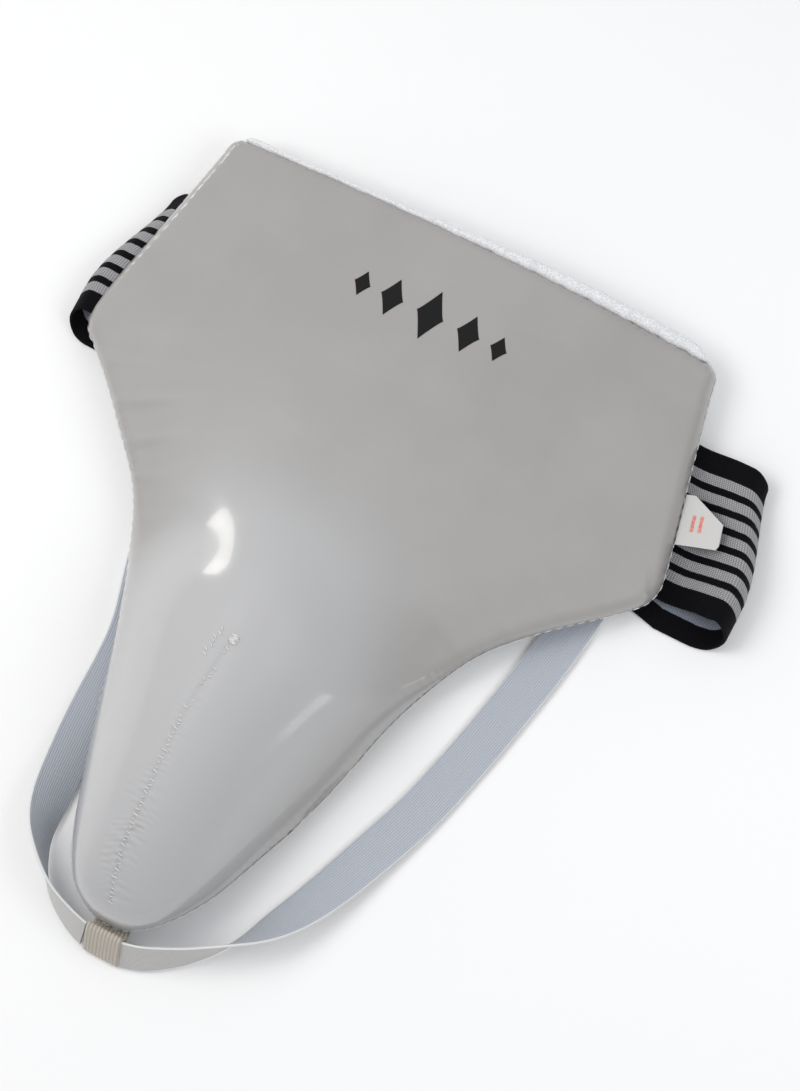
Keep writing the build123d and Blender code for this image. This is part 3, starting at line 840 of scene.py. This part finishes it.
def build_dart_stitches():
    """Stitches across the dart, in the valley between its gathers, and the tack at its top."""
    pairs = []
    y = DART_TOP_Y - 7.0
    side = 1
    while y > DART_END_Y + 3:
        high = float(smooth_step((y + 205) / 40))
        x = float(dart_line(y)) + (0.25 + 0.55 * high) * math.sin(y * 2.7)
        half = 1.0 - 0.25 * high + 0.45 * math.sin(y * 1.9)
        slant = 0.3 * math.sin(y * 1.3) + 0.25 * side * high
        if high * math.sin(y * 3.7 + 1) < 0.55:
            pairs.append(stitch_across(x, y, half, slant, 0.1))
        y -= 2.0 + 0.45 * math.sin(y * 0.83)
        side = -side
    row = stitches_piece("dart_seam_stitches", pairs, 0.29, 0.22)
    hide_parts("dart_stitching")
    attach(row, "cup_section")
    pairs = []
    for k in range(7):
        y = DART_TOP_Y - 0.6 - k * 0.6
        half = 2.1 - 0.12 * abs(k - 3)
        shift = 0.35 * math.sin(k * 2.3)
        pairs.append(stitch_across(shift, y, half, 0.25 * math.sin(k * 1.7), 0.3))
    for k in range(7):
        y = DART_TOP_Y - 0.5 - k * 2.1
        x = -6.8 - 0.3 * k + 0.7 * math.sin(k * 2.1)
        half = 0.7 + 0.4 * math.sin(k * 1.3)
        pairs.append(stitch_across(x, y, half, 0.5, 0.2))
    tack = stitches_piece("dart_bar_tack", pairs, 0.34, 0.25)
    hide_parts("dart_bartack")
    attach(tack, "cup_section")


def build_top_binding():
    """Woven tape along the panel's upper edge, that shows most towards the wearer's left."""
    x = np.linspace(-117, 119, 240)
    fuller = smooth_step((x + 50) / 110) * (1 - 0.9 * smooth_step((x - 103) / 16))
    fuller = fuller + 0.35 * np.exp(-((x + 110) / 7) ** 2)
    ends = np.sqrt(np.clip((117.2 - np.abs(x)) / 4, 0.02, 1))
    lumps = 1 + 0.07 * np.sin(x / 1.9) + 0.05 * np.sin(x / 1.1 + 2)
    y = TOP_Y - 0.4 + 2.7 * fuller + 0.15 * np.sin(x / 4.1)
    z = front_height(x, np.full_like(x, TOP_Y)) - 4.0 + 0.2 * np.sin(x / 3.3)
    tape = tube_piece("top_edge_tape", np.column_stack([x, y, z]), (1.3 + 1.8 * fuller) * ends * lumps,
                      2.9 * ends * lumps, "binding_tape", segments=20)
    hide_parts("top_edge_binding")
    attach(tape, "flap")


def under_wing_height(x):
    return float(front_height(x, 0.0) - PANEL_T * steepness(x, 0.0)) - 0.5 - BELT_T / 2


def belt_loop_line(out, top, reach, count):
    """Side view of one end of the belt, from under the wing to the flat rear length: (x, z)."""
    mid = BELT_FLOOR_Z
    inner = out - reach
    points = [(x, under_wing_height(x)) for x in np.linspace(116.0, inner, 3)]
    points += [(inner + reach * 0.5, under_wing_height(inner) + (top - 6) * 0.72),
               (inner + reach * 0.80, top * 0.92), (out - mid, top * 0.55),
               (inner + reach * 0.80, mid + 1.6), (inner + reach * 0.40, mid + 0.15), (inner, mid)]
    return through(points, 1.0, count=count)


def belt_relief(across):
    """The grey stripes stand a little proud, and the belt has firm rounded edges."""
    in_stripe = np.abs((across + STRIPE_PITCH / 2) % STRIPE_PITCH - STRIPE_PITCH / 2)
    proud = smooth_step((STRIPE_WIDTH / 2 - in_stripe) / 0.7 + 0.5)
    proud = proud * (np.abs(across) < STRIPED_HALF)
    return 0.14 * proud


# Each end loop of the belt: (side, how far out and how high its upper edge is, the same for its
# lower edge, length of its fold).
BELT_LOOPS = [(1, (166.0, 13.5), (180.0, 21.5), 32.0), (-1, (137.5, 8.5), (152.5, 14.5), 22.0)]


def build_belt():
    """One continuous elastic: sewn under both wings, folded into a soft loop at each side."""
    columns = 113
    u = np.linspace(-BELT_HALF, BELT_HALF, columns)
    flare = smooth_step((BELT_HALF - u) / (1.6 * BELT_HALF)) ** 0.8
    ends = []
    for side, (out_high, top_high), (out_low, top_low), reach in BELT_LOOPS:
        snug = belt_loop_line(out_high, top_high, reach, 12)
        loose = belt_loop_line(out_low, top_low, reach, 12)
        share = flare[None, :, None]
        xz = snug[:, None, :] * (1 - share) + loose[:, None, :] * share
        turned = smooth_step((np.linspace(0, 1, len(snug)) - 0.45) / 0.4)[:, None]
        y = u[None] - BELT_DROP * turned
        free = smooth_step((xz[..., 0] - 138) / 10) * smooth_step((xz[..., 1] - 2) / 3)
        ripple = 0.5 * np.sin(np.linspace(0, 9, len(snug)))[:, None] * np.sin(u / 13.0)[None]
        z = xz[..., 1] + ripple * free
        ends.append(np.stack([side * xz[..., 0], y, z], axis=2))
    share = np.linspace(0, 1, 75)[1:-1, None]
    rear_x = ends[0][-1, :, 0] * (1 - share) + ends[1][-1, :, 0] * share
    rear_y = u[None] - BELT_DROP * np.abs(2 * share - 1) ** 3
    rear = np.stack(np.broadcast_arrays(rear_x, rear_y, np.full((1, 1), BELT_FLOOR_Z)), axis=2)
    sheet = np.concatenate([ends[0], rear, ends[1][::-1]], axis=0)
    belt = ribbon_piece("waist_belt", sheet, None, 2 * BELT_HALF, BELT_T, "waist_elastic",
                        columns, belt_relief)
    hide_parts("belt_rear", "belt_side_right", "belt_side_left")
    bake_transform(belt)


# One side of the leg strap, from the keeper to the belt: (x, y, lean).  The lean is 0 where the
# strap stands on edge and 90 where it lies flat with its body side up.
STRAP_RIGHT = [(10, KEEPER_Y, KEEPER_LEAN), (30, -272, -18), (50, -256, 8), (64, -237, 48),
               (75, -216, 70), (84, -195, 82), (91.5, -174, 88), (98.5, -150, 90), (106, -121, 90),
               (112, -90, 90), (117.5, -50, 90), (119.5, -28, 90), (120, -9, 90)]
STRAP_LEFT = [(-10, KEEPER_Y, KEEPER_LEAN), (-29, -273, -16), (-44, -257, 8), (-52.5, -236, 48),
              (-55, -212, 70), (-56, -190, 82), (-57, -170, 88), (-59, -150, 90), (-66, -122, 90),
              (-74, -90, 90), (-88, -50, 90), (-97, -28, 90), (-103, -9, 90)]

# The strap is made in four lengths: (name, first and last place along the whole line, node it
# stands for, bodies it would move between, and where that change would start and end along Y).
ON_CUP, ON_BELT = ("flap", "cup_section"), ("flap", "rear_belt")
STRAP_LENGTHS = [
    ("leg_strap_left_top", 0, 2, "leg_strap_upper_left", ON_BELT, -49, -26),
    ("leg_strap_left_low", 2, 12, "leg_strap_lower", ON_CUP, -52, -76),
    ("leg_strap_right_low", 12.5, 20, "leg_strap_lower", ON_CUP, -152, -262),
    ("leg_strap_right_top", 20, 25, "leg_strap_upper_right", ON_BELT, -148, -42),
]


def build_leg_strap():
    """Elastic strap from the belt, round the tip through the keeper, and back to the belt."""
    line = STRAP_LEFT[::-1] + STRAP_RIGHT
    per_span = 10
    curve = through(line, 1.0, count=per_span)
    x, y, lean = curve.T
    lean = np.radians(lean)
    flat = np.stack([np.gradient(x), np.gradient(y), np.zeros_like(x)], axis=1)
    flat /= np.linalg.norm(flat, axis=1)[:, None]
    outward = np.cross(flat, (0, 0, 1))
    across = outward * np.sin(lean)[:, None] + np.array([0, 0, 1]) * np.cos(lean)[:, None]
    z = STRAP_LOW_Z + STRAP_WIDTH / 2 * np.cos(lean)
    hold = np.exp(-(x / 16.0) ** 2) * (y < -265)
    z = z + (KEEPER_Z - STRAP_LOW_Z - STRAP_WIDTH / 2 * math.cos(math.radians(KEEPER_LEAN))) * hold
    ripple = 0.35 * np.sin(np.arange(len(x)) / 5.0) * (1 - hold)
    middle = np.stack([x, y, z], axis=1) + outward * ripple[:, None]
    for name, first, last, node, bodies, start, end in STRAP_LENGTHS:
        rows = slice(int(first * per_span), int(last * per_span) + 1)
        strap = ribbon_piece(name, middle[rows], across[rows], STRAP_WIDTH, STRAP_T, "leg_elastic",
                             33, lambda u: 0.10 * (np.abs(np.abs(u) - 9.0) < 0.7))
        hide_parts(node)
        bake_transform(strap)


def build_keeper():
    """Ribbed webbing loop round the strap, with its tab to the tip."""
    lean = math.radians(KEEPER_LEAN)
    long_axis = np.array([0, -math.sin(lean), math.cos(lean)])
    thick_axis = np.array([0, math.cos(lean), math.sin(lean)])
    centre = np.array([0, KEEPER_Y, KEEPER_Z])
    turns = np.linspace(-0.5 * np.pi, 1.5 * np.pi, 72)
    reach_long, reach_thick = 10.9, 1.55
    loop = []
    for a in turns:
        c, s = math.cos(a), math.sin(a)
        loop.append(centre + long_axis * reach_long * np.sign(c) * abs(c) ** 0.35
                    + thick_axis * reach_thick * np.sign(s) * abs(s) ** 0.8)
    tab_end = np.array([0, TIP_Y + 3.0, 15.0])
    start = loop[-1]
    tab = through([start, start + (0, 3.0, 0.2), (0, TIP_Y - 0.5, 10.8), tab_end], 0.8)
    line = np.vstack([even(np.array(loop), 0.8), tab[1:]])
    across = np.tile(np.array([1.0, 0, 0]), (len(line), 1))
    keeper = ribbon_piece("tip_keeper_webbing", line, across, KEEPER_WIDTH, 0.95, "keeper_webbing",
                          81, lambda u: 0.16 * np.cos(2 * np.pi * u / KEEPER_RIB))
    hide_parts("tip_keeper")
    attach(keeper, "cup_section")


def label_frame():
    """The label's own frame: origin, outward axis, axis along the seam, and normal."""
    edge = math.radians(13.5)
    tilt = math.radians(24.0)
    along = np.array([-math.sin(edge), math.cos(edge), 0])
    flat = np.array([math.cos(edge), math.sin(edge), 0])
    out = flat * math.cos(tilt) + np.array([0, 0, 1]) * math.sin(tilt)
    return np.array([137.9, 0.0, 12.0]), out, along, np.cross(out, along)


def label_point(u, v, lift):
    """Point on the curled label: u outwards, v along the seam."""
    origin, out, along, normal = label_frame()
    curl = -0.9 * (u / LABEL_LENGTH) ** 2 + 0.35 * math.cos(v / 4.2) * u / LABEL_LENGTH
    return origin + out * u + along * v + normal * (lift + curl)


def build_label():
    """Satin size label with a slanting point, and a generic pair of printed bars."""
    rows, columns = 19, 25
    half = 11.5
    verts = []
    for lift in (0.4, 0.0):
        for i in range(rows):
            u = LABEL_LENGTH * i / (rows - 1)
            high = half - 0.72 * max(u - 4.5, 0.0)
            low = -half + 2.0 * max(u - 19.5, 0.0)
            for j in range(columns):
                verts.append(label_point(u, low + (high - low) * j / (columns - 1), lift))
    label = mesh_piece("size_label_satin", verts, sheet_box_faces(0, rows, columns), "label_satin")
    recalculate(label)
    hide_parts("size_label")
    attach(label, "label")
    verts, faces = [], []
    for middle in (6.4, 10.2):
        faces += sheet_box_faces(len(verts), 4, 13)
        for lift in (0.5, 0.41):
            verts += [label_point(u, v, lift) for u in np.linspace(middle - 0.8, middle + 0.8, 4)
                      for v in np.linspace(-5.0, 2.5, 13)]
    ink = mesh_piece("size_label_bars", verts, faces, "label_ink")
    recalculate(ink)
    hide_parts("label_mark")
    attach(ink, "label")


def sheet_box_faces(base, rows, columns):
    """Faces of a closed thin sheet: a top grid, a bottom grid after it, and the sides."""
    count = rows * columns
    top = grid_faces(rows, columns)
    faces = [tuple(base + k for k in f) for f in top]
    faces += [tuple(base + count + k for k in f[::-1]) for f in top]
    border = (list(range(columns))
              + [i * columns + columns - 1 for i in range(1, rows)]
              + [(rows - 1) * columns + j for j in range(columns - 2, -1, -1)]
              + [i * columns for i in range(rows - 2, 0, -1)])
    for a, b in zip(border, border[1:] + border[:1]):
        faces.append((base + a, base + a + count, base + b + count, base + b))
    return faces


def recalculate(piece):
    """Turns all faces of a closed mesh outwards."""
    bm = bmesh.new()
    bm.from_mesh(piece.data)
    bmesh.ops.recalc_face_normals(bm, faces=bm.faces)
    bm.to_mesh(piece.data)
    bm.free()


def build_printed_mark():
    """Generic row of printed lozenges that follows the cover."""
    low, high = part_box("printed_mark")
    middle_y = (low.y + high.y) / 2 / MM
    verts, faces = [], []
    for offset, width, height in ((0, 13, 24), (19, 11, 18), (-19, 11, 18),
                                  (34, 8, 12), (-34, 8, 12)):
        rows, columns = 25, 13
        base = len(verts)
        points = []
        for i in range(rows):
            t = 2 * i / (rows - 1) - 1
            reach = height / 2 * max(1 - abs(t), 0.02) ** 1.15
            for j in range(columns):
                points.append((offset + t * width / 2, middle_y + reach * (2 * j / (columns - 1) - 1)))
        points = np.array(points)
        z = cover_height(points[:, 0], points[:, 1])
        for lift in (0.16, 0.02):
            verts += [(px, py, pz + lift) for (px, py), pz in zip(points, z)]
        faces += sheet_box_faces(base, rows, columns)
    mark = mesh_piece("printed_lozenges", verts, faces, "black_print")
    recalculate(mark)
    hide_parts("printed_mark")
    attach(mark, "flap")


def build_object():
    dress_cad_nodes()
    plan, faces = panel_plan_mesh(2.4)
    d, s = edge_distance(plan[:, 0], plan[:, 1])
    build_cover(plan, faces, d, s)
    build_lining(plan, faces, d, s)
    build_edge_stitches()
    build_dart_stitches()
    build_top_binding()
    build_belt()
    build_leg_strap()
    build_keeper()
    build_label()
    build_printed_mark()


build_object()


# --- stage, light and camera -------------------------------------------------------------------

VIEW = Vector((0.17, -0.15, 0.975)).normalized()      # from the object to the camera
IMAGE_RIGHT = Vector((0.892, 0.452, 0.0))             # direction on the object that runs right
FILL = 0.92                                           # share of the frame the object fills
CAMERA_DISTANCE = 1.4
IMAGE_SIZE = (800, 1091)


def build_floor():
    mesh = bpy.data.meshes.new("studio_floor")
    reach = 6.0
    mesh.from_pydata([(-reach, -reach, 0), (reach, -reach, 0), (reach, reach, 0), (-reach, reach, 0)],
                     [], [(0, 1, 2, 3)])
    mesh.materials.append(floor_material())
    floor = bpy.data.objects.new("studio_floor", mesh)
    bpy.context.scene.collection.objects.link(floor)
    floor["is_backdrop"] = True


def mirror_direction(x, y):
    """Direction a light must come from to be seen mirrored in the cover at (x, y) millimetres."""
    dx = float(front_height(x + 1.0, y) - front_height(x - 1.0, y)) / 2
    dy = float(front_height(x, y + 1.0) - front_height(x, y - 1.0)) / 2
    normal = Vector((-dx, -dy, 1)).normalized()
    return (2 * normal.dot(VIEW) * normal - VIEW).normalized()


def area_light(name, place, target, size, size_y, power, color=(1, 1, 1), mirrored=True):
    light = bpy.data.lights.new(name, "AREA")
    light.shape = "ELLIPSE" if name == "key" else "RECTANGLE"
    light.size = size
    light.size_y = size_y
    light.energy = power
    light.color = color
    lamp = bpy.data.objects.new(name, light)
    lamp.location = place
    lamp.rotation_euler = (Vector(target) - Vector(place)).to_track_quat("-Z", "Y").to_euler()
    lamp.visible_glossy = mirrored
    bpy.context.scene.collection.objects.link(lamp)


def build_world():
    """Bright room, a little darker low down on the wearer's left."""
    n = Nodes("studio", bpy.data.worlds)
    toward = n.add("ShaderNodeTexCoord").outputs["Generated"]
    facing_light = n.add("ShaderNodeVectorMath", operation="DOT_PRODUCT", i_0=toward,
                         i_1=(-0.62, 0.25, 0.74)).outputs["Value"]
    background = n.tree.nodes["Background"]
    background.inputs["Color"].default_value = (0.97, 0.98, 1.0, 1.0)
    n.put(background.inputs["Strength"], n.ramp(facing_light, -0.4, 1.0, 0.52, 0.70))
    bpy.context.scene.world = n.owner


def build_lights():
    """Two soft boxes that shape the panel, and two lights that the glossy cover mirrors."""
    dome = Vector((0, -0.12, 0.05))
    key = mirror_direction(-31.0, -111.0)
    area_light("key", dome + key * 1.5, dome, 0.50, 0.72, 4.6, (1.0, 0.975, 0.93))
    strip = mirror_direction(36.0, -165.0)
    area_light("strip", dome + strip * 1.4, dome, 0.30, 0.12, 0.28)
    area_light("soft_box", (-0.42, -0.16, 0.85), dome, 0.5, 0.5, 3.4, (1.0, 0.985, 0.965),
               mirrored=False)
    area_light("fill", (0.62, 0.05, 0.70), dome, 0.5, 0.5, 1.8, (0.96, 0.98, 1.0), mirrored=False)
    bpy.context.scene.view_settings.view_transform = "Standard"


def build_camera():
    """Camera at the product's usual viewing angle, framed on everything the object shows."""
    right = (IMAGE_RIGHT - VIEW * IMAGE_RIGHT.dot(VIEW)).normalized()
    up = VIEW.cross(right)
    points = []
    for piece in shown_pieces():
        if piece.type == "MESH":
            co = np.zeros(len(piece.data.vertices) * 3, np.float32)
            piece.data.vertices.foreach_get("co", co)
            points.append(co.reshape(-1, 3))
    points = np.concatenate(points)
    across = points @ np.array(right)
    upward = points @ np.array(up)
    middle = (right * float((across.max() + across.min()) / 2)
              + up * float((upward.max() + upward.min()) / 2) + VIEW * 0.03)
    frame_height = max(float(np.ptp(upward)),
                       float(np.ptp(across)) * IMAGE_SIZE[1] / IMAGE_SIZE[0]) / FILL
    camera = bpy.data.cameras.new("camera")
    camera.sensor_fit = "VERTICAL"
    camera.sensor_height = 24.0
    camera.lens = 24.0 * CAMERA_DISTANCE / frame_height
    camera.clip_end = 50.0
    holder = bpy.data.objects.new("camera", camera)
    rotation = Matrix((right, up, VIEW)).transposed()
    holder.matrix_world = Matrix.Translation(middle + VIEW * CAMERA_DISTANCE) @ rotation.to_4x4()
    bpy.context.scene.collection.objects.link(holder)
    bpy.context.scene.camera = holder


build_floor()
build_world()
build_lights()
build_camera()
